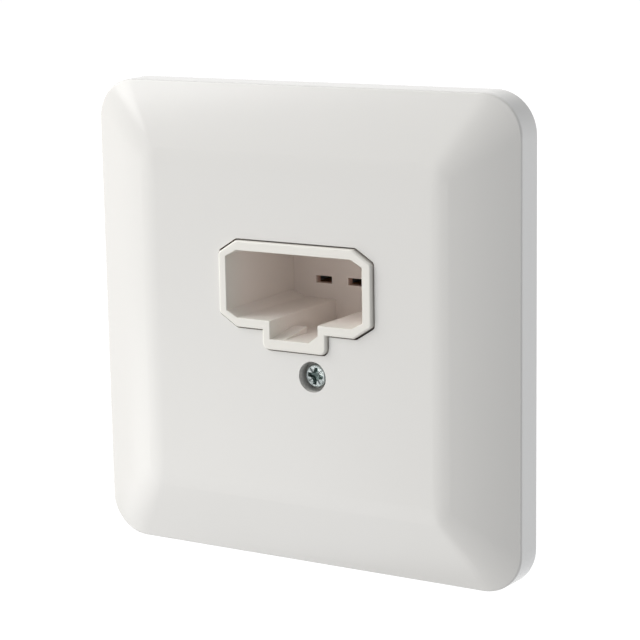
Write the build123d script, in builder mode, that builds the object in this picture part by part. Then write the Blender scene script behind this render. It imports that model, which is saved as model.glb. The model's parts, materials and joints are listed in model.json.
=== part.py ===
from build123d import *
import os

# Flush wall outlet for a luminaire plug, in millimetres.
# X runs to the right and Z up as seen from the room, and Y runs into the wall.
# The wall's surface is the plane Y = 0, and the origin is the middle of the cover plate's back.

# Cover plate
plate_size = 85.0
plate_corner_radius = 7.4
rim_height = 5.25
rim_draft = 0.15
rim_edge_radius = 0.4
field_size = 58.5
field_corner_radius = 2.0
field_height = 9.4
bevel_crown = 0.4
crease_share = 1.07
cover_wall = 2.0
cover_rib_thickness = 1.2
cover_rib_depth = 3.0
cover_rib_spacing = 44.0
cutout_gap = 0.25
cutout_skirt_depth = 3.5
cutout_skirt_wall = 1.2

# Socket recess, seen from the room
socket_x = 1.05
collar_height = 10.1
recess_depth = 22.4
recess_width = 27.5
recess_top = 13.85
recess_bottom = 1.87
recess_chamfer_x = 2.2
recess_chamfer_z = 1.2
key_width = 9.7
key_bottom = -1.35
key_chamfer_x = 1.85
key_chamfer_z = 1.4
recess_lead_in = 0.08

# Collar round the recess
collar_left_wall = 1.53
collar_right_wall = 1.8
collar_top_wall = 1.71
collar_bottom_wall = 1.67
collar_chamfer_x = 3.6
collar_chamfer_z = 2.3
key_side_wall = 1.6
key_bottom_wall = 1.9
key_corner_radius = 1.2
collar_corner_radius = 0.8
collar_edge_radius = 0.4
socket_floor_wall = 1.6

# Latch ramp along the keyway's left wall, and the latch pocket behind it
latch_ramp_width = 2.7
latch_ramp_start = 0.6
latch_ramp_length = 7.4
latch_ramp_rise = 1.05
latch_pocket_start = 10.2
latch_pocket_depth = 0.3

# Contact slots in the socket's floor
slot_pitch = 6.76
slot_offset = -0.52
slot_width = 3.35
slot_height = 1.35
slot_centre_z = 5.375

# Insert behind the cover: flange and rear housing share this outline
insert_width = 49.0
insert_corner_radius = 14.0
insert_top = 20.0
flange_thickness = 1.8
housing_wall = 1.6
housing_edge_radius = 1.2
chamber_wall = 1.3
working_gap = 0.3

# Support frame of sheet steel
frame_size = 71.0
frame_corner_radius = 4.0
frame_thickness = 1.2
frame_lip_length = 48.0
frame_lip_height = 2.2
frame_bend_radius = 0.9
frame_window_gap = 0.5
box_slot_spacing = 60.0
box_slot_length = 7.0
box_slot_width = 3.6

# Cover screw and its nut
cover_screw_x = 4.3
cover_screw_z = -7.4
cover_screw_shank = 2.5
cover_screw_tip_reach = 0.6
cover_screw_head = 4.1
cover_screw_head_height = 1.6
cover_screw_sink = 1.0
cover_screw_edge_radius = 0.35
screw_well_diameter = 5.45
screw_well_wall = 1.1
nut_size = 5.0
nut_thickness = 2.0
nut_front = 2.4
nut_pocket_wall = 1.2

# Fastener clearances and drives
shank_gap = 0.2
thread_gap = 0.03
seat_gap = 0.05
drive_slot_width = 0.7
drive_cross_share = 0.6
drive_depth = 0.8

# Frame rivets
rivet_z = 4.0
rivet_diameter = 3.0
rivet_bore = 1.6
rivet_head_diameter = 5.2
rivet_head_height = 0.8

# Housing screws and the posts that they enter
post_z = -10.5
post_diameter = 5.8
housing_screw_shank = 2.5
housing_screw_length = 12.0
housing_screw_head = 4.6
housing_screw_head_height = 1.6
housing_screw_sink = 0.4

# Contacts
strip_thickness = 0.8
contact_width = 4.2
contact_leaf_length = 10.6
contact_jog_top = 0.5
contact_jog_bottom = -6.5
contact_bend_radius = 0.6

# Springs over the contact leaves
spring_thickness = 0.4
spring_width = 3.6
spring_leg_length = 7.5
spring_arch = 3.4
spring_bend_radius = 0.6
spring_lip_rise = 1.6
spring_lip_length = 2.2

# Terminal cages, clamp plates and screws
terminal_offset = -0.52
cage_inner_width = 5.6
cage_inner_height = 5.8
cage_side_wall = 1.0
cage_floor = 1.2
cage_corner_radius = 0.8
cage_length = 7.7
cage_setback = 4.1
tail_level = -12.4
clamp_plate_thickness = 0.9
clamp_plate_side_gap = 0.2
clamp_plate_edge_radius = 0.3
wire_space = 2.1
clamp_screw_shank = 3.0
clamp_screw_head = 4.6
clamp_screw_head_height = 1.6
clamp_screw_head_travel = 2.6
driver_well_gap = 0.4
driver_well_wall = 1.0
wire_entry_diameter = 4.2

# Earth strap from the frame to the earth contact
strap_thickness = 0.5
strap_width = 3.0
strap_eye_diameter = 6.2
strap_z = -7.2
strap_x = -2.6
strap_foot_length = 3.4

# Places that follow from the sizes above
plate_half = plate_size / 2
rim_half = plate_half - rim_draft
field_half = field_size / 2
inner_half = plate_half - cover_wall
crease_radius = crease_share * (rim_half - field_half)
cover_inner_height = field_height - cover_wall

collar_width = recess_width + collar_left_wall + collar_right_wall
collar_x = socket_x + (collar_right_wall - collar_left_wall) / 2
collar_top = recess_top + collar_top_wall
collar_bottom = recess_bottom - collar_bottom_wall
key_outer_width = key_width + 2 * key_side_wall
key_outer_bottom = key_bottom - key_bottom_wall

socket_floor_y = recess_depth - collar_height
socket_back_y = socket_floor_y + socket_floor_wall
contact_front_y = socket_back_y + working_gap
contact_back_y = contact_front_y + strip_thickness
chamber_front_y = contact_back_y + working_gap
cage_front_y = contact_back_y + cage_setback
cage_back_y = cage_front_y + cage_length
cage_middle_y = (cage_front_y + cage_back_y) / 2
housing_inner_y = cage_back_y + working_gap
housing_back_y = housing_inner_y + housing_wall

leaf_top = slot_centre_z - slot_height / 2
leaf_bottom = leaf_top - strip_thickness
leaf_back_y = contact_front_y + contact_leaf_length
shelf_top = leaf_bottom - spring_thickness - working_gap / 3
slot_middle_x = socket_x + slot_offset
slot_positions = [slot_middle_x + place * slot_pitch for place in (-1, 0, 1)]

cage_width = cage_inner_width + 2 * cage_side_wall
cage_top = tail_level + cage_side_wall
cage_inner_bottom = tail_level - cage_inner_height
cage_bottom = cage_inner_bottom - cage_floor
tail_bottom = tail_level - strip_thickness
clamp_plate_top = tail_bottom - wire_space
clamp_plate_bottom = clamp_plate_top - clamp_plate_thickness
clamp_head_top = cage_bottom - clamp_screw_head_travel
housing_floor_top = clamp_head_top - working_gap
insert_bottom = housing_floor_top - housing_wall
chamber_pitch = cage_width + 2 * working_gap + chamber_wall
terminal_middle_x = socket_x + terminal_offset
terminal_positions = [terminal_middle_x + place * chamber_pitch for place in (-1, 0, 1)]
wire_entry_z = tail_bottom - wire_space / 2

insert_height = insert_top - insert_bottom
insert_middle_z = (insert_top + insert_bottom) / 2

cover_screw_head_front = field_height - cover_screw_sink
cover_screw_seat = cover_screw_head_front - cover_screw_head_height
nut_back = nut_front + nut_thickness
cover_screw_length = cover_screw_seat + nut_back + cover_screw_tip_reach
rivet_reach = collar_width / 2 + strap_eye_diameter / 2 + working_gap
rivet_positions = [(collar_x + side * rivet_reach, rivet_z) for side in (-1, 1)]
screw_boss_radius = housing_screw_head / 2 + shank_gap + housing_wall / 2
post_reach = insert_width / 2 - housing_wall - screw_boss_radius
post_positions = [(side * post_reach, post_z) for side in (-1, 1)]
housing_screw_head_back = housing_back_y - housing_screw_sink
housing_screw_seat_y = housing_screw_head_back - housing_screw_head_height
post_end_y = housing_screw_seat_y - housing_wall

os.makedirs("parts", exist_ok=True)


def at_front(height):
    """Sketch plane parallel to the wall, this far in front of it, facing the room."""
    return Plane.XZ.offset(height)


def at_depth(depth):
    """Sketch plane parallel to the wall, this far behind its surface, facing the room."""
    return Plane.XZ.offset(-depth)


def save(piece, name):
    """Label a finished piece and write its file."""
    piece.part.label = name
    export_step(piece.part, f"parts/{name}.step")


def bevel_height(half_width):
    """Height of the cover's outer face at this distance from its centre line."""
    share = (half_width - field_half) / (rim_half - field_half)
    drop = (1 - bevel_crown) * share + bevel_crown * share**2
    return field_height - (field_height - rim_height) * drop


def bevel_corner(half_width):
    """Plan radius of the bevel's diagonal ridge at this distance from the centre line."""
    share = (half_width - field_half) / (rim_half - field_half)
    rim_radius = plate_corner_radius - rim_draft
    return field_corner_radius + (rim_radius - field_corner_radius) * share


def bevel_sections(outer_half, wall):
    """Rounded squares from the rim to the field, each sunk by the wall below the outer face."""
    steps = 4
    sections = []
    for step in range(steps):
        half = outer_half + (field_half - outer_half) * step / (steps - 1)
        with BuildSketch(at_front(bevel_height(half) - wall)) as section:
            RectangleRounded(2 * half, 2 * half, bevel_corner(half))
        sections.append(section.sketch)
    return sections


def keyed_outline(centre_x, width, top, bottom, chamfer_x, chamfer_z, tab_width, tab_bottom):
    """Eight-sided outline about a centre, with a keyway tab below it that is centred on the socket."""
    left = centre_x - width / 2
    right = centre_x + width / 2
    tab_left = socket_x - tab_width / 2
    tab_right = socket_x + tab_width / 2
    with BuildSketch() as outline:
        with BuildLine():
            Polyline(
                (left + chamfer_x, top),
                (right - chamfer_x, top),
                (right, top - chamfer_z),
                (right, bottom + chamfer_z),
                (right - chamfer_x, bottom),
                (tab_right, bottom),
                (tab_right, tab_bottom),
                (tab_left, tab_bottom),
                (tab_left, bottom),
                (left + chamfer_x, bottom),
                (left, bottom + chamfer_z),
                (left, top - chamfer_z),
                close=True,
            )
        make_face()
    return outline.sketch


def collar_outline(gap):
    """Outer outline of the collar, grown by a gap, with its corners rounded."""
    with BuildSketch() as outline:
        add(
            keyed_outline(
                collar_x,
                collar_width + 2 * gap,
                collar_top + gap,
                collar_bottom - gap,
                collar_chamfer_x,
                collar_chamfer_z,
                key_outer_width + 2 * gap,
                key_outer_bottom - gap,
            )
        )
        tab_corners = outline.vertices().group_by(Axis.Y)[0]
        fillet(tab_corners, key_corner_radius + gap)
        chamfer_corners = outline.vertices().filter_by(
            lambda corner: abs(corner.X - collar_x) > key_outer_width / 2 + gap + collar_chamfer_x
        )
        fillet(chamfer_corners, collar_corner_radius)
    return outline.sketch


def recess_outline():
    """Outline of the recess: the keyway's lower right corner is cut off, its left one is sharp."""
    with BuildSketch() as outline:
        add(
            keyed_outline(
                socket_x,
                recess_width,
                recess_top,
                recess_bottom,
                recess_chamfer_x,
                recess_chamfer_z,
                key_width,
                key_bottom,
            )
        )
        key_right = socket_x + key_width / 2
        with BuildLine():
            Polyline(
                (key_right, key_bottom),
                (key_right, key_bottom + key_chamfer_z),
                (key_right - key_chamfer_x, key_bottom),
                close=True,
            )
        make_face(mode=Mode.SUBTRACT)
    return outline.sketch


def insert_outline(inset):
    """Outline shared by the flange and the rear housing, drawn in by an inset."""
    with BuildSketch() as outline:
        with Locations((0, insert_middle_z)):
            RectangleRounded(
                insert_width - 2 * inset,
                insert_height - 2 * inset,
                insert_corner_radius - inset,
            )
    return outline.sketch


# Cover plate: outer form, then the ribs that fill parts of its hollow, then the finished moulding
with BuildPart() as cover_form:
    with BuildSketch(at_front(0)):
        RectangleRounded(plate_size, plate_size, plate_corner_radius)
    with BuildSketch(at_front(rim_height)):
        RectangleRounded(2 * rim_half, 2 * rim_half, plate_corner_radius - rim_draft)
    loft(ruled=True)
    loft(sections=bevel_sections(rim_half, 0))
    field_face = cover_form.faces().sort_by(Axis.Y)[0]
    fillet(field_face.edges(), crease_radius)
    rim_edges = cover_form.edges().filter_by_position(Axis.Y, -rim_height - 0.01, -rim_height + 0.01)
    fillet(rim_edges, rim_edge_radius)

with BuildPart() as cover_ribs:
    with BuildSketch(at_front(cover_inner_height - cover_rib_depth)):
        with GridLocations(0, cover_rib_spacing, 1, 2):
            Rectangle(2 * inner_half + cover_wall, cover_rib_thickness)
        with GridLocations(cover_rib_spacing, 0, 2, 1):
            Rectangle(cover_rib_thickness, 2 * inner_half + cover_wall)
    extrude(amount=field_height)
    add(cover_form.part, mode=Mode.INTERSECT)

with BuildPart() as cover:
    add(cover_form.part)
    with BuildSketch(at_front(0)):
        RectangleRounded(2 * inner_half, 2 * inner_half, plate_corner_radius - cover_wall)
    extrude(amount=bevel_height(inner_half) - cover_wall, mode=Mode.SUBTRACT)
    loft(sections=bevel_sections(inner_half, cover_wall), mode=Mode.SUBTRACT)
    add(cover_ribs.part)
    with BuildSketch(at_front(cover_inner_height - cutout_skirt_depth)):
        add(collar_outline(cutout_gap + cutout_skirt_wall))
    extrude(amount=cutout_skirt_depth + cover_wall / 2)
    with BuildSketch(at_front(frame_thickness)):
        with Locations((cover_screw_x, cover_screw_z)):
            Circle(screw_well_diameter / 2 + screw_well_wall)
    extrude(amount=field_height - frame_thickness - cover_wall / 2)
    with BuildSketch(at_front(0)):
        add(collar_outline(cutout_gap))
    extrude(amount=field_height + cover_wall, mode=Mode.SUBTRACT)
    with BuildSketch(at_front(0)):
        with Locations((cover_screw_x, cover_screw_z)):
            Circle(cover_screw_shank / 2 + shank_gap)
    extrude(amount=field_height, mode=Mode.SUBTRACT)
    with BuildSketch(at_front(cover_screw_seat)):
        with Locations((cover_screw_x, cover_screw_z)):
            Circle(screw_well_diameter / 2)
    extrude(amount=field_height, mode=Mode.SUBTRACT)
save(cover, "cover")

# Socket moulding: collar and recess in one tube, with the flange that carries it
with BuildPart() as outlet_body:
    with BuildSketch(at_depth(socket_back_y)):
        add(collar_outline(0))
    extrude(amount=socket_back_y + collar_height)
    collar_face = outlet_body.faces().sort_by(Axis.Y)[0]
    fillet(collar_face.edges(), collar_edge_radius)
    with BuildSketch(at_depth(flange_thickness)):
        add(insert_outline(0))
    extrude(amount=flange_thickness)
    with BuildSketch(at_depth(socket_floor_y)):
        add(recess_outline())
    extrude(amount=recess_depth, mode=Mode.SUBTRACT)
    mouth = outlet_body.faces().sort_by(Axis.Y)[0].inner_wires()[0]
    chamfer(mouth.edges(), recess_lead_in)

    # Latch pocket at the back of the keyway, and the ramp in front of it that grows out of the left wall
    with BuildSketch(at_depth(socket_floor_y)):
        with Locations((socket_x - key_chamfer_x / 2, key_bottom)):
            Rectangle(key_width - key_chamfer_x, 2 * latch_pocket_depth)
    extrude(amount=recess_depth - latch_pocket_start, mode=Mode.SUBTRACT)
    ramp_front_y = latch_ramp_start - collar_height
    ramp_back_y = ramp_front_y + latch_ramp_length
    ramp_root_x = socket_x - key_width / 2 - key_side_wall / 2
    with BuildSketch(Plane.YZ.offset(ramp_root_x)):
        with BuildLine():
            Polyline(
                (ramp_front_y, key_bottom),
                (ramp_back_y, key_bottom + latch_ramp_rise),
                (ramp_back_y, key_bottom - key_bottom_wall / 2),
                (ramp_front_y, key_bottom - key_bottom_wall / 2),
                close=True,
            )
        make_face()
    extrude(amount=key_side_wall / 2 + latch_ramp_width)

    # Contact slots
    with BuildSketch(at_depth(socket_back_y)):
        with Locations([(x, slot_centre_z) for x in slot_positions]):
            Rectangle(slot_width, slot_height)
    extrude(amount=socket_floor_wall, mode=Mode.SUBTRACT)

    # Posts for the housing screws, and the rivet pad that matches the earth strap's thickness
    with BuildSketch(at_depth(post_end_y)):
        with Locations(post_positions):
            Circle(post_diameter / 2)
    extrude(amount=post_end_y - flange_thickness)
    with BuildSketch(at_depth(post_end_y)):
        with Locations(post_positions):
            Circle(housing_screw_shank / 2 + thread_gap)
    extrude(amount=housing_screw_length, mode=Mode.SUBTRACT)
    with BuildSketch(at_depth(flange_thickness + strap_thickness)):
        with Locations(rivet_positions[1]):
            Circle(strap_eye_diameter / 2 - working_gap)
    extrude(amount=strap_thickness)
    with BuildSketch(at_depth(flange_thickness + strap_thickness)):
        with Locations(rivet_positions):
            Circle(rivet_diameter / 2 + seat_gap)
    extrude(amount=flange_thickness + strap_thickness, mode=Mode.SUBTRACT)

    # Nut pocket behind the cover screw, open below so that the nut slides in
    nut_block_width = nut_size + 2 * nut_pocket_wall
    nut_block_top = cover_screw_z + nut_size / 2 + nut_pocket_wall
    nut_block_bottom = cover_screw_z - nut_size / 2
    nut_block_height = nut_block_top - nut_block_bottom
    nut_block_back_y = nut_back + seat_gap + nut_pocket_wall
    with BuildSketch(at_depth(nut_block_back_y)):
        with Locations((cover_screw_x, (nut_block_top + nut_block_bottom) / 2)):
            Rectangle(nut_block_width, nut_block_height)
    extrude(amount=nut_block_back_y - flange_thickness)
    with BuildSketch(at_depth(nut_back + seat_gap)):
        with Locations((cover_screw_x, cover_screw_z)):
            Rectangle(nut_size + 2 * seat_gap, nut_size + 2 * seat_gap)
    extrude(amount=nut_thickness + seat_gap, mode=Mode.SUBTRACT)
    with BuildSketch(at_depth(nut_block_back_y)):
        with Locations((cover_screw_x, cover_screw_z)):
            Circle(cover_screw_shank / 2 + shank_gap)
    extrude(amount=nut_block_back_y, mode=Mode.SUBTRACT)
save(outlet_body, "outlet_body")

# Support frame: flat sheet with four bent lips, window, box slots and fastener holes
with BuildPart() as support_frame:
    with BuildSketch(at_front(0)):
        RectangleRounded(frame_size, frame_size, frame_corner_radius)
    extrude(amount=frame_thickness)
    lip_place = (frame_size - frame_thickness) / 2
    with BuildSketch(at_front(0)):
        with GridLocations(2 * lip_place, 0, 2, 1):
            Rectangle(frame_thickness, frame_lip_length)
        with GridLocations(0, 2 * lip_place, 1, 2):
            Rectangle(frame_lip_length, frame_thickness)
    extrude(amount=frame_thickness + frame_lip_height)
    back_face = support_frame.faces().sort_by(Axis.Y)[-1]
    bend_edges = back_face.outer_wire().edges().filter_by(
        lambda edge: edge.geom_type == GeomType.LINE
    )
    fillet(bend_edges, frame_bend_radius)
    window_width = collar_width + 2 * frame_window_gap
    window_height = collar_top - key_outer_bottom + 2 * frame_window_gap
    window_middle_z = (collar_top + key_outer_bottom) / 2
    with BuildSketch(at_front(0)):
        with Locations((collar_x, window_middle_z)):
            RectangleRounded(window_width, window_height, key_corner_radius)
        with Locations((cover_screw_x, cover_screw_z)):
            Circle(cover_screw_shank / 2 + shank_gap)
        with Locations(rivet_positions):
            Circle(rivet_diameter / 2 + seat_gap)
        with GridLocations(box_slot_spacing, 0, 2, 1):
            SlotOverall(box_slot_length, box_slot_width)
        with GridLocations(0, box_slot_spacing, 1, 2):
            SlotOverall(box_slot_length, box_slot_width, rotation=90)
    extrude(amount=frame_thickness, mode=Mode.SUBTRACT)
save(support_frame, "support_frame")

# Rear housing: cup with terminal chambers, contact barriers, wire entries and driver wells
with BuildPart() as rear_housing:
    with BuildSketch(at_depth(housing_back_y)):
        add(insert_outline(0))
    extrude(amount=housing_back_y - flange_thickness)
    rear_face = rear_housing.faces().sort_by(Axis.Y)[-1]
    fillet(rear_face.edges(), housing_edge_radius)
    with BuildSketch(at_depth(housing_inner_y)):
        add(insert_outline(housing_wall))
    extrude(amount=housing_inner_y - flange_thickness, mode=Mode.SUBTRACT)

    # Chamber walls between the cages, with a roof over them
    chamber_top = cage_top + working_gap + chamber_wall
    chamber_height = chamber_top - insert_bottom - housing_wall / 2
    chamber_middle_z = chamber_top - chamber_height / 2
    with BuildSketch(at_depth(housing_inner_y + housing_wall / 2)):
        with Locations((terminal_middle_x, chamber_middle_z)):
            with GridLocations(chamber_pitch, 0, 4, 1):
                Rectangle(chamber_wall, chamber_height)
        with Locations((terminal_middle_x, chamber_top - chamber_wall / 2)):
            Rectangle(3 * chamber_pitch + chamber_wall, chamber_wall)
    extrude(amount=housing_inner_y + housing_wall / 2 - chamber_front_y)

    # Shelf under the contact leaves, with a barrier on each side of each leaf
    barrier_top = slot_centre_z + slot_height / 2 + spring_arch
    barrier_height = barrier_top - shelf_top + chamber_wall
    barrier_middle_z = barrier_top - barrier_height / 2
    with BuildSketch(at_depth(housing_inner_y + housing_wall / 2)):
        with Locations((slot_middle_x, barrier_middle_z)):
            with GridLocations(slot_pitch, 0, 4, 1):
                Rectangle(chamber_wall, barrier_height)
        with Locations((slot_middle_x, shelf_top - chamber_wall / 2)):
            Rectangle(3 * slot_pitch + chamber_wall, chamber_wall)
    extrude(amount=housing_inner_y + housing_wall / 2 - chamber_front_y)

    # Driver wells: short tubes that carry the cages from below
    driver_well_radius = clamp_screw_head / 2 + driver_well_gap
    well_foot = insert_bottom + housing_wall / 2
    with BuildSketch(Plane.XY.offset(well_foot)):
        with Locations([(x, cage_middle_y) for x in terminal_positions]):
            Circle(driver_well_radius + driver_well_wall)
    extrude(amount=cage_bottom - working_gap - well_foot)
    with BuildSketch(Plane.XY.offset(insert_bottom)):
        with Locations([(x, cage_middle_y) for x in terminal_positions]):
            Circle(driver_well_radius)
    extrude(amount=cage_bottom - insert_bottom, mode=Mode.SUBTRACT)

    # Wire entries in the rear wall
    with BuildSketch(at_depth(housing_back_y)):
        with Locations([(x, wire_entry_z) for x in terminal_positions]):
            Circle(wire_entry_diameter / 2)
    extrude(amount=housing_wall, mode=Mode.SUBTRACT)

    # Screw bosses that meet the socket moulding's posts
    with BuildSketch(at_depth(housing_inner_y + housing_wall / 2)):
        with Locations(post_positions):
            Circle(screw_boss_radius)
    extrude(amount=housing_inner_y + housing_wall / 2 - post_end_y)
    with BuildSketch(at_depth(housing_back_y)):
        with Locations(post_positions):
            Circle(housing_screw_head / 2 + shank_gap)
    extrude(amount=housing_back_y - housing_screw_seat_y, mode=Mode.SUBTRACT)
    with BuildSketch(at_depth(housing_back_y)):
        with Locations(post_positions):
            Circle(housing_screw_shank / 2 + shank_gap)
    extrude(amount=housing_back_y - post_end_y, mode=Mode.SUBTRACT)
save(rear_housing, "rear_housing")


def drive_recess(plane, x, y, head_radius):
    """Combined cross and slot recess, cut into the head that lies in front of this plane."""
    with BuildPart() as recess:
        with BuildSketch(plane):
            with Locations((x, y)):
                Rectangle(2 * head_radius - drive_slot_width, drive_slot_width, rotation=45)
                Rectangle(drive_slot_width, 2 * drive_cross_share * head_radius, rotation=45)
        extrude(amount=drive_depth)
    return recess.part


# Cover screw
with BuildPart() as cover_screw:
    with BuildSketch(at_front(cover_screw_seat - cover_screw_length)):
        with Locations((cover_screw_x, cover_screw_z)):
            Circle(cover_screw_shank / 2)
    extrude(amount=cover_screw_length)
    with BuildSketch(at_front(cover_screw_seat)):
        with Locations((cover_screw_x, cover_screw_z)):
            Circle(cover_screw_head / 2)
    extrude(amount=cover_screw_head_height)
    head_face = cover_screw.faces().sort_by(Axis.Y)[0]
    fillet(head_face.edges(), cover_screw_edge_radius)
    add(
        drive_recess(
            at_front(cover_screw_head_front - drive_depth),
            cover_screw_x,
            cover_screw_z,
            cover_screw_head / 2,
        ),
        mode=Mode.SUBTRACT,
    )
save(cover_screw, "cover_screw")

# Square nut for the cover screw
with BuildPart() as cover_nut:
    with BuildSketch(at_depth(nut_back)):
        with Locations((cover_screw_x, cover_screw_z)):
            Rectangle(nut_size, nut_size)
            Circle(cover_screw_shank / 2 + thread_gap, mode=Mode.SUBTRACT)
    extrude(amount=nut_thickness)
save(cover_nut, "cover_nut")

# Tubular rivets through frame, flange and earth strap
rivet_grip_back_y = flange_thickness + strap_thickness
with BuildPart() as frame_rivets:
    with BuildSketch(at_depth(rivet_grip_back_y + rivet_head_height)):
        with Locations(rivet_positions):
            Circle(rivet_head_diameter / 2)
    extrude(amount=rivet_head_height)
    with BuildSketch(at_front(frame_thickness)):
        with Locations(rivet_positions):
            Circle(rivet_head_diameter / 2)
    extrude(amount=rivet_head_height)
    with BuildSketch(at_depth(rivet_grip_back_y)):
        with Locations(rivet_positions):
            Circle(rivet_diameter / 2)
    extrude(amount=rivet_grip_back_y + frame_thickness)
    with BuildSketch(at_depth(rivet_grip_back_y + rivet_head_height)):
        with Locations(rivet_positions):
            Circle(rivet_bore / 2)
    extrude(
        amount=rivet_grip_back_y + frame_thickness + 2 * rivet_head_height,
        mode=Mode.SUBTRACT,
    )
save(frame_rivets, "frame_rivets")

# Housing screws, driven from behind into the posts
with BuildPart() as housing_screws:
    with BuildSketch(at_depth(housing_screw_head_back)):
        with Locations(post_positions):
            Circle(housing_screw_head / 2)
    extrude(amount=housing_screw_head_height)
    with BuildSketch(at_depth(housing_screw_seat_y)):
        with Locations(post_positions):
            Circle(housing_screw_shank / 2)
    extrude(amount=housing_screw_length)
    for post_x, post_place_z in post_positions:
        add(
            drive_recess(
                at_depth(housing_screw_head_back),
                post_x,
                post_place_z,
                housing_screw_head / 2,
            ),
            mode=Mode.SUBTRACT,
        )
save(housing_screws, "housing_screws")


def make_contact(slot_x, terminal_x):
    """Brass strip: leaf behind the slot, web that slants to the terminal, tail in the cage."""
    half = contact_width / 2
    with BuildPart() as contact:
        with BuildSketch(at_depth(contact_back_y)):
            with BuildLine():
                Polyline(
                    (slot_x - half, leaf_top),
                    (slot_x + half, leaf_top),
                    (slot_x + half, contact_jog_top),
                    (terminal_x + half, contact_jog_bottom),
                    (terminal_x + half, tail_bottom),
                    (terminal_x - half, tail_bottom),
                    (terminal_x - half, contact_jog_bottom),
                    (slot_x - half, contact_jog_top),
                    close=True,
                )
            make_face()
        extrude(amount=strip_thickness)
        with BuildSketch(at_depth(leaf_back_y)):
            with Locations((slot_x, (leaf_top + leaf_bottom) / 2)):
                Rectangle(contact_width, strip_thickness)
        extrude(amount=contact_leaf_length)
        with BuildSketch(at_depth(cage_back_y)):
            with Locations((terminal_x, (tail_level + tail_bottom) / 2)):
                Rectangle(contact_width, strip_thickness)
        extrude(amount=cage_back_y - contact_front_y)
        front_edges = contact.faces().sort_by(Axis.Y)[0].edges().filter_by(Axis.X)
        bends = front_edges.sort_by(Axis.Z)
        fillet([bends[0], bends[-1]], contact_bend_radius)
    return contact


def make_contact_spring(slot_x):
    """Leaf spring that wraps the contact leaf's end and presses a blade on to it."""
    half_sheet = spring_thickness / 2
    back_y = leaf_back_y + spring_bend_radius
    leg_z = leaf_bottom - half_sheet
    arch_z = leaf_top + spring_arch
    press_z = leaf_top + working_gap + half_sheet
    press_y = chamber_front_y + spring_lip_length
    with BuildPart() as spring:
        with BuildSketch(Plane.YZ.offset(slot_x)):
            with BuildLine():
                FilletPolyline(
                    (back_y - spring_leg_length, leg_z),
                    (back_y, leg_z),
                    (back_y, arch_z),
                    (press_y, press_z),
                    (press_y - spring_lip_length, press_z + spring_lip_rise),
                    radius=spring_bend_radius,
                )
            trace(line_width=spring_thickness)
        extrude(amount=spring_width / 2, both=True)
    return spring


def make_cage(terminal_x):
    """Clamp cage: a rectangular ring round the contact's tail, tapped below for its screw."""
    cage_height = cage_top - cage_bottom
    with BuildPart() as cage:
        with BuildSketch(at_depth(cage_back_y)):
            with Locations((terminal_x, (cage_top + cage_bottom) / 2)):
                RectangleRounded(cage_width, cage_height, cage_corner_radius)
            with Locations((terminal_x, (tail_level + cage_inner_bottom) / 2)):
                Rectangle(cage_inner_width, cage_inner_height, mode=Mode.SUBTRACT)
        extrude(amount=cage_length)
        with BuildSketch(Plane.XY.offset(cage_bottom)):
            with Locations((terminal_x, cage_middle_y)):
                Circle(clamp_screw_shank / 2 + thread_gap)
        extrude(amount=cage_floor, mode=Mode.SUBTRACT)
    return cage


def make_clamp_plate(terminal_x):
    """Pressure plate between the clamp screw's tip and the wire."""
    with BuildPart() as plate:
        with BuildSketch(at_depth(cage_back_y)):
            with Locations((terminal_x, (clamp_plate_top + clamp_plate_bottom) / 2)):
                Rectangle(cage_inner_width - 2 * clamp_plate_side_gap, clamp_plate_thickness)
        extrude(amount=cage_length)
        top_edges = plate.faces().sort_by(Axis.Z)[-1].edges().filter_by(Axis.X)
        fillet(top_edges, clamp_plate_edge_radius)
    return plate


# Contacts, springs, cages and clamp plates, one set for each pole
poles = zip(("line", "earth", "neutral"), slot_positions, terminal_positions)
for pole, slot_x, terminal_x in poles:
    save(make_contact(slot_x, terminal_x), f"{pole}_contact")
    save(make_contact_spring(slot_x), f"{pole}_contact_spring")
    save(make_cage(terminal_x), f"{pole}_terminal_cage")
    save(make_clamp_plate(terminal_x), f"{pole}_clamp_plate")

# Clamp screws, driven from below through the wells
clamp_head_bottom = clamp_head_top - clamp_screw_head_height
clamp_screw_places = [(x, cage_middle_y) for x in terminal_positions]
with BuildPart() as terminal_screws:
    with BuildSketch(Plane.XY.offset(clamp_head_top)):
        with Locations(clamp_screw_places):
            Circle(clamp_screw_shank / 2)
    extrude(amount=clamp_plate_bottom - clamp_head_top)
    with BuildSketch(Plane.XY.offset(clamp_head_bottom)):
        with Locations(clamp_screw_places):
            Circle(clamp_screw_head / 2)
    extrude(amount=clamp_screw_head_height)
    with BuildSketch(Plane.XY.offset(clamp_head_bottom)):
        with Locations(clamp_screw_places):
            Rectangle(clamp_screw_head, drive_slot_width)
    extrude(amount=drive_depth, mode=Mode.SUBTRACT)
save(terminal_screws, "terminal_screws")

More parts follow.
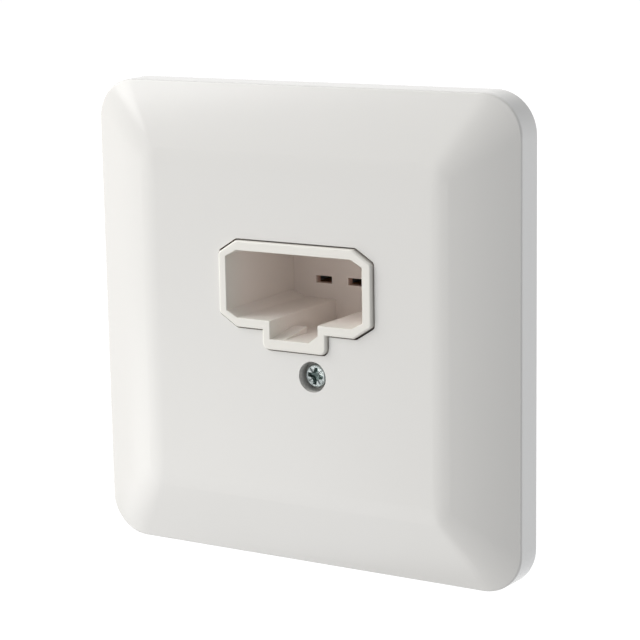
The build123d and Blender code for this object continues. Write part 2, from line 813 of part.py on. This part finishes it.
# Earth strap: eye under the left rivet, arm along the flange, tongue back to the earth contact
eye_x, eye_z = rivet_positions[0]
strap_back_y = flange_thickness + strap_thickness
with BuildPart() as earth_strap:
    with BuildSketch(at_depth(strap_back_y)):
        with Locations((eye_x, eye_z)):
            Circle(strap_eye_diameter / 2)
        with BuildLine():
            Polyline(
                (eye_x - strap_width / 2, eye_z),
                (eye_x + strap_width / 2, eye_z),
                (eye_x + strap_width / 2, strap_z + strap_width),
                (strap_x + strap_width / 2, strap_z + strap_width),
                (strap_x + strap_width / 2, strap_z),
                (eye_x - strap_width / 2, strap_z),
                close=True,
            )
        make_face()
        with Locations((eye_x, eye_z)):
            Circle(rivet_diameter / 2 + seat_gap, mode=Mode.SUBTRACT)
    extrude(amount=strap_thickness)
    with BuildSketch(at_depth(contact_front_y)):
        with Locations((strap_x, strap_z + strap_thickness / 2)):
            Rectangle(strap_width, strap_thickness)
    extrude(amount=contact_front_y - flange_thickness)
    foot_right = strap_x - strap_width / 2 + strap_width + strap_foot_length
    foot_middle_x = (strap_x - strap_width / 2 + foot_right) / 2
    with BuildSketch(at_depth(contact_front_y)):
        with Locations((foot_middle_x, strap_z - strap_width / 2 + strap_thickness)):
            Rectangle(strap_width + strap_foot_length, strap_width)
    extrude(amount=strap_thickness)
save(earth_strap, "earth_strap")
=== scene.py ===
import json
import math

import bpy
from mathutils import Matrix, Vector


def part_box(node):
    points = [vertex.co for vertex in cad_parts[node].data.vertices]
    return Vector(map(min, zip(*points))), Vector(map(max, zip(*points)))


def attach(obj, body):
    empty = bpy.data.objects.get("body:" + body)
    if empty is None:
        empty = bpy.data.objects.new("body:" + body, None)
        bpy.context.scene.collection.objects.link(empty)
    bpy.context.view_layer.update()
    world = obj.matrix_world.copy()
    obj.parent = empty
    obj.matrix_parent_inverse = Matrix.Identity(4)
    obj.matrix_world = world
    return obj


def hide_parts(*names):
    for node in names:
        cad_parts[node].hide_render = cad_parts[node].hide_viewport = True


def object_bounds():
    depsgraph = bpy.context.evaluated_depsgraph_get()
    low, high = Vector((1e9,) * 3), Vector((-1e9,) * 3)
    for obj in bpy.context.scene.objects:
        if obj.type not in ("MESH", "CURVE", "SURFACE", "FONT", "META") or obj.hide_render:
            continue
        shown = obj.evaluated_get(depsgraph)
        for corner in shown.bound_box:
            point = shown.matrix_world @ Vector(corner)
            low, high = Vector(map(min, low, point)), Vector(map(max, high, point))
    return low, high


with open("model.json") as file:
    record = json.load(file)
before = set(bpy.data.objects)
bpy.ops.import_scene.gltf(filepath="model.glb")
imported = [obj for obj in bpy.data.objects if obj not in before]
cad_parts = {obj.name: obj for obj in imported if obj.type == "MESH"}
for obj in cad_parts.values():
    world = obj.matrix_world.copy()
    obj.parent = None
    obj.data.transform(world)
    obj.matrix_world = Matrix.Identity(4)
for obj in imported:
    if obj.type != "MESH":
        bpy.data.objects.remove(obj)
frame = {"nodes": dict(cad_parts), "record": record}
cad_low, cad_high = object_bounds()

# Camera, at the photograph's place: metres, degrees, and focal length in pixels of the 640 pixel frame
CAMERA_PLACE = Vector((0.1995851, -0.3252280, 0.0766175))
CAMERA_AZIMUTH = 31.499
CAMERA_ELEVATION = 11.268
CAMERA_ROLL = -0.984
CAMERA_CLIP = 0.01
FOCAL_PIXELS = 2207.34
FRAME_PIXELS = 640
SENSOR_WIDTH = 36.0

# Cover screw, in metres: threaded shank with a tapered tip
SCREW_SEGMENTS = 144
SCREW_SHARP_ANGLE = 32.0
SCREW_TURNS = [2 * math.pi * step / SCREW_SEGMENTS for step in range(SCREW_SEGMENTS)]
SHANK_RADIUS = 0.00125
THREAD_PITCH = 0.0005
THREAD_DEPTH = 0.00022
THREAD_STEPS = 6
TIP_SHARE = 0.6

# Cover screw, in metres: head with a rounded edge
HEAD_HEIGHT = 0.0016
HEAD_EDGE_SHARE = 0.2
HEAD_EDGE_STEPS = 10
HEAD_RINGS = 56

# Cover screw, in metres: cross recess with tapered arms and a mark between each two arms
CROSS_ANGLE = -8.0
CROSS_ARM_WIDTH = 0.00118
CROSS_ARM_TAPER = 0.45
CROSS_ARM_LENGTH = 0.0030
CROSS_CORE_RADIUS = 0.00085
CROSS_DEPTH = 0.00105
CROSS_FLOOR_RISE = 0.45
CROSS_WALL_RUN = 0.00022
CROSS_MARK_WIDTH = 0.00016
CROSS_MARK_REACH = (0.00085, 0.00165)
CROSS_MARK_DEPTH = 0.00012

# Colour sockets of Blender's mix node, by place
MIX_FACTOR = 0
MIX_FIRST = 6
MIX_SECOND = 7
MIX_RESULT = 2

# Moulded plastic: noise scales for metres, spread of the roughness
UNIT_RANGE = (0.0, 1.0)
DRIFT_SCALE = 28.0
GLOSS_SCALE = 95.0
GLOSS_SPREAD = 0.04
GRAIN_STRENGTH = 0.2
PLASTIC_IOR = 1.5
PLASTIC_DETAIL = 2.0
GLOSS_DETAIL = 3.0

# Plated and plain metal: patches in tone and roughness, drawn lines
PATCH_SCALE = 160.0
PATCH_DETAIL = 4.0
PATCH_TONE_RANGE = (0.35, 0.65)
PATCH_ROUGHNESS_RANGE = (0.3, 0.7)
PATCH_SPREAD = 0.07
LINE_SCALE = 400.0
LINE_DETAIL = 3.0
LINE_STRENGTH = 0.3

# Tints of painted light and shade along Y, in metres: full at the first depth and gone at the second
# painted fill light: the socket's front face is tinted down, so its recess, fading back to the plain base
# colour, reads lighter inside
SOCKET_RECESS_PAINTED_LIGHT = ((0.91, 0.952, 0.935), (-0.0096, -0.004))
# painted shade: the slots' walls deepest in, by the brass contacts, are tinted darker and redder
SOCKET_SLOT_PAINTED_SHADE = ((1.0, 0.80, 0.73), (0.0131, 0.0122))
# painted shade: the cover screw is darker deeper in, in its cross recess
SCREW_RECESS_PAINTED_SHADE = ((0.60, 0.70, 0.67), (-0.0077, -0.0082))
# painted shade: the cover's cut-out walls in the gap round the collar are darkened
COLLAR_GAP_PAINTED_SHADE = ((0.36, 0.22, 0.17), (-0.0089, -0.0093))

# Collar, in metres: it stands in front of this Y, and the painted shade in the gap reaches this far round it
# and fades
COLLAR_FRONT = -0.0096
COLLAR_REACH = 0.0007
COLLAR_FADE = 0.0004

# Looks of the plastics: two close colours, roughness, scale and height of the grain, tints of painted light
# and shade
PLASTICS = {
    "cover_plastic": {
        "first": (0.80, 0.785, 0.755),
        "second": (0.785, 0.77, 0.735),
        "roughness": 0.20,
        "grain_scale": 2600.0,
        "grain_height": 0.00002,
    },
    "socket_plastic": {
        "first": (0.945, 0.88, 0.83),
        "second": (0.94, 0.873, 0.82),
        "roughness": 0.38,
        "grain_scale": 2200.0,
        "grain_height": 0.00002,
        "painted_light_tints": (SOCKET_RECESS_PAINTED_LIGHT, SOCKET_SLOT_PAINTED_SHADE),
    },
    "housing_plastic": {
        "first": (0.52, 0.525, 0.51),
        "second": (0.47, 0.475, 0.46),
        "roughness": 0.52,
        "grain_scale": 1500.0,
        "grain_height": 0.00005,
    },
}

# Looks of the metals: two close colours, roughness, stretch and height of the drawn lines
METALS = {
    "zinc_sheet": {
        "first": (0.60, 0.63, 0.66),
        "second": (0.50, 0.53, 0.57),
        "roughness": 0.36,
        "stretch": (1.0, 1.0, 14.0),
        "line_height": 0.00002,
    },
    "plated_screw": {
        "first": (0.62, 0.67, 0.69),
        "second": (0.50, 0.57, 0.62),
        "roughness": 0.28,
        "stretch": (3.0, 3.0, 3.0),
        "line_height": 0.00001,
    },
    "contact_brass": {
        "first": (0.86, 0.56, 0.30),
        "second": (0.76, 0.47, 0.24),
        "roughness": 0.55,
        "stretch": (1.0, 10.0, 10.0),
        "line_height": 0.00001,
    },
    "spring_steel": {
        "first": (0.52, 0.51, 0.50),
        "second": (0.44, 0.43, 0.42),
        "roughness": 0.22,
        "stretch": (10.0, 1.0, 1.0),
        "line_height": 0.00001,
    },
}

# Look of the cover screw's plating: rough and faceted on its face, with painted shade darker in its recess
COVER_SCREW_PLATING = {
    "first": (0.46, 0.50, 0.49),
    "second": (0.27, 0.30, 0.30),
    "roughness": 0.26,
    "stretch": (4.0, 4.0, 4.0),
    "line_height": 0.0006,
    "painted_light_tints": (SCREW_RECESS_PAINTED_SHADE,),
}

# Surroundings: brightness by direction, and over these distances from the middle
STUDIO_WHITE = (1.0, 1.0, 1.0)
RIGHT_COLOUR = (0.98, 1.0, 1.035)
FRONT_LEVEL = 0.38
REAR_LEVEL = 1.03
REAR_HIGH_RIGHT_LEVEL = 0.42
WORLD_SIDES = (-0.3, 0.3)
WORLD_FRONT_TO_REAR = (-0.3, 0.3)
WORLD_LOW_TO_HIGH = (0.05, 0.55)

# Floor, in metres, and its glow: a dark floor whose emission is painted light, dimmer in front and brightest
# behind on the right
FLOOR_SIZE = 30.0
FLOOR_DROP = 0.9
FLOOR_BASE = (0.05, 0.05, 0.05, 1.0)
FLOOR_ROUGHNESS = 0.9
FLOOR_FRONT_LEFT_LEVEL = 0.56
FLOOR_REAR_RIGHT_LEVEL = 1.12
FLOOR_SIDES = (-0.8, 0.8)
FLOOR_FRONT_TO_REAR = (-0.1, 1.2)

# Softboxes, all aimed at the outlet: place, width and height in metres, power in watts
SOFTBOXES = {
    "high_softbox": ((-0.7, -0.35, 0.6), 0.7, 0.7, 6.2),
    "low_softbox": ((-0.6, -0.5, -0.5), 0.7, 0.7, 2.27),
    "near_softbox": ((-0.45, -0.43, 0.03), 0.72, 1.0, 1.05),
}


def add_camera():
    """Camera with the fitted place, angles and focal length of the photograph."""
    azimuth = math.radians(CAMERA_AZIMUTH)
    elevation = math.radians(CAMERA_ELEVATION)
    roll = math.radians(CAMERA_ROLL)
    back = Vector(
        (
            math.sin(azimuth) * math.cos(elevation),
            -math.cos(azimuth) * math.cos(elevation),
            math.sin(elevation),
        )
    )
    level_right = Vector((0, 0, 1)).cross(back).normalized()
    level_up = back.cross(level_right)
    right = math.cos(roll) * level_right + math.sin(roll) * level_up
    up = math.cos(roll) * level_up - math.sin(roll) * level_right
    data = bpy.data.cameras.new("camera")
    data.sensor_width = SENSOR_WIDTH
    data.lens = FOCAL_PIXELS / FRAME_PIXELS * SENSOR_WIDTH
    data.clip_start = CAMERA_CLIP
    camera = bpy.data.objects.new("camera", data)
    rotation = Matrix((right, up, back)).transposed().to_4x4()
    camera.matrix_world = Matrix.Translation(CAMERA_PLACE) @ rotation
    bpy.context.scene.collection.objects.link(camera)
    bpy.context.scene.camera = camera


def set_input(tree, target, value):
    """Link a socket to an input, or give the input a fixed value."""
    if isinstance(value, bpy.types.NodeSocket):
        tree.links.new(value, target)
    else:
        target.default_value = value


def coordinates(tree, kind="Object"):
    """Sockets X, Y and Z of the object's own coordinates, in metres, or of another kind."""
    place = tree.nodes.new("ShaderNodeTexCoord")
    split = tree.nodes.new("ShaderNodeSeparateXYZ")
    tree.links.new(place.outputs[kind], split.inputs["Vector"])
    return split.outputs


def calculate(tree, operation, first, second=0.0):
    """Result of one math operation on sockets or values."""
    step = tree.nodes.new("ShaderNodeMath")
    step.operation = operation
    set_input(tree, step.inputs[0], first)
    set_input(tree, step.inputs[1], second)
    return step.outputs[0]


def ramp(tree, source, source_range, target_range, interpolation="LINEAR"):
    """Map a source from one range to another, whose ends are values or sockets."""
    node = tree.nodes.new("ShaderNodeMapRange")
    node.interpolation_type = interpolation
    set_input(tree, node.inputs["Value"], source)
    names = ("From Min", "From Max", "To Min", "To Max")
    for name, value in zip(names, (*source_range, *target_range)):
        set_input(tree, node.inputs[name], value)
    return node.outputs["Result"]


def soft_ramp(tree, source, source_range, first, second):
    """Map a source softly over a range, from a first to a second value or socket."""
    return ramp(tree, source, source_range, (first, second), "SMOOTHSTEP")


def mix(tree, factor, first, second, blend="MIX"):
    """Mix of two colours, each a colour or a socket, by a factor socket."""
    node = tree.nodes.new("ShaderNodeMix")
    node.data_type = "RGBA"
    node.blend_type = blend
    set_input(tree, node.inputs[MIX_FACTOR], factor)
    for place, colour in ((MIX_FIRST, first), (MIX_SECOND, second)):
        if isinstance(colour, tuple):
            colour = (*colour, 1.0)
        set_input(tree, node.inputs[place], colour)
    return node.outputs[MIX_RESULT]


def noise(tree, scale, detail, stretch=(1.0, 1.0, 1.0)):
    """Noise on the object's own coordinates, in metres, stretched along an axis."""
    place = tree.nodes.new("ShaderNodeTexCoord")
    mapping = tree.nodes.new("ShaderNodeMapping")
    mapping.inputs["Scale"].default_value = stretch
    texture = tree.nodes.new("ShaderNodeTexNoise")
    texture.inputs["Scale"].default_value = scale
    texture.inputs["Detail"].default_value = detail
    tree.links.new(place.outputs["Object"], mapping.inputs["Vector"])
    tree.links.new(mapping.outputs["Vector"], texture.inputs["Vector"])
    return texture.outputs["Fac"]


def new_material(name):
    """Material with a cleared node tree, its output and its principled shader."""
    material = bpy.data.materials.new(name)
    material.use_nodes = True
    tree = material.node_tree
    tree.nodes.clear()
    output = tree.nodes.new("ShaderNodeOutputMaterial")
    shader = tree.nodes.new("ShaderNodeBsdfPrincipled")
    tree.links.new(shader.outputs["BSDF"], output.inputs["Surface"])
    return material, tree, shader


def paint_light_by_depth(tree, colour, tint, depths):
    """Multiply a colour socket by a tint of painted light and shade that fades along the outlet's Y from one
    depth to another.
    """
    fade = ramp(tree, coordinates(tree)["Y"], depths, (1.0, 0.0))
    return mix(tree, fade, colour, tint, "MULTIPLY")


def add_bump(tree, shader, height, strength, distance):
    """Bump of a height socket on the shader's normal."""
    bump = tree.nodes.new("ShaderNodeBump")
    bump.inputs["Strength"].default_value = strength
    bump.inputs["Distance"].default_value = distance
    tree.links.new(height, bump.inputs["Height"])
    tree.links.new(bump.outputs["Normal"], shader.inputs["Normal"])


def moulded_plastic(name, first, second, roughness, grain_scale, grain_height, painted_light_tints=()):
    """Moulded plastic: slight tone drift, uneven gloss, a very fine grain and tints of painted light and
    shade by depth.
    """
    material, tree, shader = new_material(name)
    colour = mix(tree, noise(tree, DRIFT_SCALE, PLASTIC_DETAIL), first, second)
    for tint, depths in painted_light_tints:
        colour = paint_light_by_depth(tree, colour, tint, depths)
    tree.links.new(colour, shader.inputs["Base Color"])
    gloss = noise(tree, GLOSS_SCALE, GLOSS_DETAIL)
    gloss_range = (roughness - GLOSS_SPREAD, roughness + GLOSS_SPREAD)
    tree.links.new(ramp(tree, gloss, UNIT_RANGE, gloss_range), shader.inputs["Roughness"])
    shader.inputs["IOR"].default_value = PLASTIC_IOR
    grain = noise(tree, grain_scale, PLASTIC_DETAIL)
    add_bump(tree, shader, grain, GRAIN_STRENGTH, grain_height)
    return material


def plated_metal(name, first, second, roughness, stretch, line_height, painted_light_tints=()):
    """Plated or plain metal: patchy tone, uneven roughness, fine drawn lines and tints of painted light and
    shade by depth.
    """
    material, tree, shader = new_material(name)
    patches = noise(tree, PATCH_SCALE, PATCH_DETAIL)
    colour = mix(tree, ramp(tree, patches, PATCH_TONE_RANGE, UNIT_RANGE), first, second)
    for tint, depths in painted_light_tints:
        colour = paint_light_by_depth(tree, colour, tint, depths)
    tree.links.new(colour, shader.inputs["Base Color"])
    shader.inputs["Metallic"].default_value = 1.0
    uneven = ramp(tree, patches, PATCH_ROUGHNESS_RANGE, (roughness - PATCH_SPREAD, roughness + PATCH_SPREAD))
    tree.links.new(uneven, shader.inputs["Roughness"])
    lines = noise(tree, LINE_SCALE, LINE_DETAIL, stretch)
    add_bump(tree, shader, lines, LINE_STRENGTH, line_height)
    return material


def shade_collar_gap(material):
    """Paint shade on the cover's cut-out walls round the collar, darkening them where the gap is in shadow.
    """
    tree = material.node_tree
    tint, depths = COLLAR_GAP_PAINTED_SHADE
    points = [vertex.co for vertex in frame["nodes"]["outlet_body"].data.vertices]
    collar = [point for point in points if point.y < COLLAR_FRONT]
    place = coordinates(tree)
    factor = ramp(tree, place["Y"], depths, (1.0, 0.0))
    for index, axis in ((0, "X"), (2, "Z")):
        low = min(point[index] for point in collar) - COLLAR_REACH
        high = max(point[index] for point in collar) + COLLAR_REACH
        half = (high - low) / 2
        offset = calculate(tree, "SUBTRACT", place[axis], (low + high) / 2)
        distance = calculate(tree, "ABSOLUTE", offset)
        near = ramp(tree, distance, (half, half + COLLAR_FADE), (1.0, 0.0))
        factor = calculate(tree, "MULTIPLY", factor, near)
    shader = next(node for node in tree.nodes if node.type == "BSDF_PRINCIPLED")
    plain = shader.inputs["Base Color"].links[0].from_socket
    tree.links.new(mix(tree, factor, plain, tint, "MULTIPLY"), shader.inputs["Base Color"])


def make_materials():
    """One procedural material for each material slot of the record."""
    materials = {slot: moulded_plastic(slot, **look) for slot, look in PLASTICS.items()}
    materials.update({slot: plated_metal(slot, **look) for slot, look in METALS.items()})
    shade_collar_gap(materials["cover_plastic"])
    return materials


def dress_nodes(materials):
    """Give every carried-over CAD node the material of its slot."""
    slots = {row["node"]: row["material_slot"] for row in frame["record"]["subparts"]}
    for node, piece in frame["nodes"].items():
        piece.data.materials.clear()
        piece.data.materials.append(materials[slots[node]])


def level_ring(radius, depth):
    """Ring of points (across, up, depth) about the screw's axis, all at one depth."""
    return [(radius * math.cos(turn), radius * math.sin(turn), depth) for turn in SCREW_TURNS]


def thread_rings(length):
    """Rings of the screw's shank from its tip to the head's seat, with a helical thread."""
    shank = length - HEAD_HEIGHT
    count = round(shank / THREAD_PITCH * THREAD_STEPS)
    rings = []
    for index in range(count + 1):
        depth = length - shank * index / count
        taper = min(1.0, TIP_SHARE + (1 - TIP_SHARE) * (length - depth) / THREAD_PITCH)
        ring = []
        for turn in SCREW_TURNS:
            phase = (depth / THREAD_PITCH + turn / (2 * math.pi)) % 1.0
            radius = (SHANK_RADIUS - THREAD_DEPTH * abs(2 * phase - 1)) * taper
            ring.append((radius * math.cos(turn), radius * math.sin(turn), depth))
        rings.append(ring)
    return rings


def head_side_rings(head_radius, face_radius):
    """Rings of the screw head's side, from its seat round its edge to its face."""
    edge = head_radius - face_radius
    rings = [level_ring(head_radius, HEAD_HEIGHT)]
    for index in range(HEAD_EDGE_STEPS + 1):
        bend = math.pi / 2 * index / HEAD_EDGE_STEPS
        rings.append(level_ring(face_radius + edge * math.cos(bend), edge * (1 - math.sin(bend))))
    return rings


def cross_recess_depth(across, up):
    """Depth of the cross recess below the screw head's face, at this place from the head's centre."""
    reach = math.hypot(across, up)
    half_length = CROSS_ARM_LENGTH / 2
    half_width = CROSS_ARM_WIDTH / 2 * (1 - CROSS_ARM_TAPER * min(reach / half_length, 1.0))
    upright_arm = max(abs(across) - half_width, abs(up) - half_length)
    level_arm = max(abs(up) - half_width, abs(across) - half_length)
    inside = -min(upright_arm, level_arm, reach - CROSS_CORE_RADIUS)
    wall = min(max(inside / CROSS_WALL_RUN, 0.0), 1.0)
    floor = CROSS_DEPTH * (1 - CROSS_FLOOR_RISE * reach / half_length)
    mark = 0.0
    if CROSS_MARK_REACH[0] < reach < CROSS_MARK_REACH[1]:
        off_mark = abs(abs(across) - abs(up)) / math.sqrt(2)
        mark = CROSS_MARK_DEPTH * max(0.0, 1 - off_mark / CROSS_MARK_WIDTH)
    return max(wall * floor, mark)


def face_rings(face_radius):
    """Rings of the screw head's face, from its edge inward, let down into the cross recess."""
    tilt = math.radians(CROSS_ANGLE)
    rings = []
    for index in range(1, HEAD_RINGS):
        radius = face_radius * (1 - index / HEAD_RINGS)
        ring = []
        for turn in SCREW_TURNS:
            depth = cross_recess_depth(radius * math.cos(turn - tilt), radius * math.sin(turn - tilt))
            ring.append((radius * math.cos(turn), radius * math.sin(turn), depth))
        rings.append(ring)
    return rings


def closed_faces(ring_count):
    """Faces that join the rings in order and close both ends on the two points after the last ring."""
    faces = []
    last = (ring_count - 1) * SCREW_SEGMENTS
    for start in range(0, last, SCREW_SEGMENTS):
        following = start + SCREW_SEGMENTS
        for step in range(SCREW_SEGMENTS):
            after = (step + 1) % SCREW_SEGMENTS
            faces.append((start + step, start + after, following + after, following + step))
    tip = last + SCREW_SEGMENTS
    centre = tip + 1
    for step in range(SCREW_SEGMENTS):
        after = (step + 1) % SCREW_SEGMENTS
        faces.append((after, step, tip))
        faces.append((last + step, last + after, centre))
    return faces


def add_cover_screw():
    """Cover screw with its thread, rounded head and cross recess, in place of its plain node."""
    low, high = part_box("cover_screw")
    axis_x, axis_z = (low.x + high.x) / 2, (low.z + high.z) / 2
    head_radius = (high.x - low.x) / 2
    face_radius = head_radius - HEAD_HEIGHT * HEAD_EDGE_SHARE
    rings = thread_rings(high.y - low.y) + head_side_rings(head_radius, face_radius) + face_rings(face_radius)
    points = []
    for ring in rings:
        points += [(axis_x + across, low.y + depth, axis_z + up) for across, up, depth in ring]
    points.append((axis_x, high.y, axis_z))
    points.append((axis_x, low.y + cross_recess_depth(0.0, 0.0), axis_z))
    mesh = bpy.data.meshes.new("cover_screw_detail")
    mesh.from_pydata(points, [], closed_faces(len(rings)))
    mesh.validate()
    mesh.materials.append(plated_metal("cover_screw_plating", **COVER_SCREW_PLATING))
    mesh.shade_smooth()
    mesh.set_sharp_from_angle(angle=math.radians(SCREW_SHARP_ANGLE))
    screw = bpy.data.objects.new("cover_screw_detail", mesh)
    bpy.context.scene.collection.objects.link(screw)
    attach(screw, "root")
    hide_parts("cover_screw")


def side_colour(tree, across, sides):
    """Colour of the surroundings: white on the left and slightly cool on the right."""
    return mix(tree, soft_ramp(tree, across, sides, 0.0, 1.0), STUDIO_WHITE, RIGHT_COLOUR)


def add_floor():
    """Studio floor, well below the outlet, which a wall box would hold up: dark in itself, it glows as
    painted light that lights the outlet from below.
    """
    bpy.ops.mesh.primitive_plane_add(size=FLOOR_SIZE, location=(0, 0, cad_low.z - FLOOR_DROP))
    floor = bpy.context.object
    floor.name = "floor"
    material, tree, shader = new_material("floor_glowing")
    place = coordinates(tree)
    # painted light: the floor's emission is dimmer in front, brighter behind and brightest behind on the
    # right
    front = soft_ramp(tree, place["X"], FLOOR_SIDES, FLOOR_FRONT_LEFT_LEVEL, FRONT_LEVEL)
    rear = soft_ramp(tree, place["X"], FLOOR_SIDES, REAR_LEVEL, FLOOR_REAR_RIGHT_LEVEL)
    level = soft_ramp(tree, place["Y"], FLOOR_FRONT_TO_REAR, front, rear)
    shader.inputs["Base Color"].default_value = FLOOR_BASE
    shader.inputs["Roughness"].default_value = FLOOR_ROUGHNESS
    tree.links.new(side_colour(tree, place["X"], FLOOR_SIDES), shader.inputs["Emission Color"])
    tree.links.new(level, shader.inputs["Emission Strength"])
    floor.data.materials.append(material)


def add_world():
    """Studio surroundings: white behind the outlet, dimmer high on the right and in front of it."""
    world = bpy.data.worlds.new("studio")
    bpy.context.scene.world = world
    world.use_nodes = True
    tree = world.node_tree
    tree.nodes.clear()
    output = tree.nodes.new("ShaderNodeOutputWorld")
    background = tree.nodes.new("ShaderNodeBackground")
    place = coordinates(tree, "Generated")
    right = soft_ramp(tree, place["Z"], WORLD_LOW_TO_HIGH, REAR_LEVEL, REAR_HIGH_RIGHT_LEVEL)
    rear = soft_ramp(tree, place["X"], WORLD_SIDES, REAR_LEVEL, right)
    level = soft_ramp(tree, place["Y"], WORLD_FRONT_TO_REAR, FRONT_LEVEL, rear)
    tree.links.new(side_colour(tree, place["X"], WORLD_SIDES), background.inputs["Color"])
    tree.links.new(level, background.inputs["Strength"])
    tree.links.new(background.outputs["Background"], output.inputs["Surface"])


def add_softboxes():
    """Softboxes to the left of the outlet: one high, one low and a near one in front."""
    for name, (place, width, height, power) in SOFTBOXES.items():
        data = bpy.data.lights.new(name, "AREA")
        data.shape = "RECTANGLE"
        data.size = width
        data.size_y = height
        data.energy = power
        light = bpy.data.objects.new(name, data)
        aim = (-Vector(place)).to_track_quat("-Z", "Y")
        light.matrix_world = Matrix.Translation(place) @ aim.to_matrix().to_4x4()
        bpy.context.scene.collection.objects.link(light)


bpy.context.scene.view_settings.view_transform = "Standard"
add_camera()
add_world()
add_softboxes()
add_floor()
dress_nodes(make_materials())
add_cover_screw()
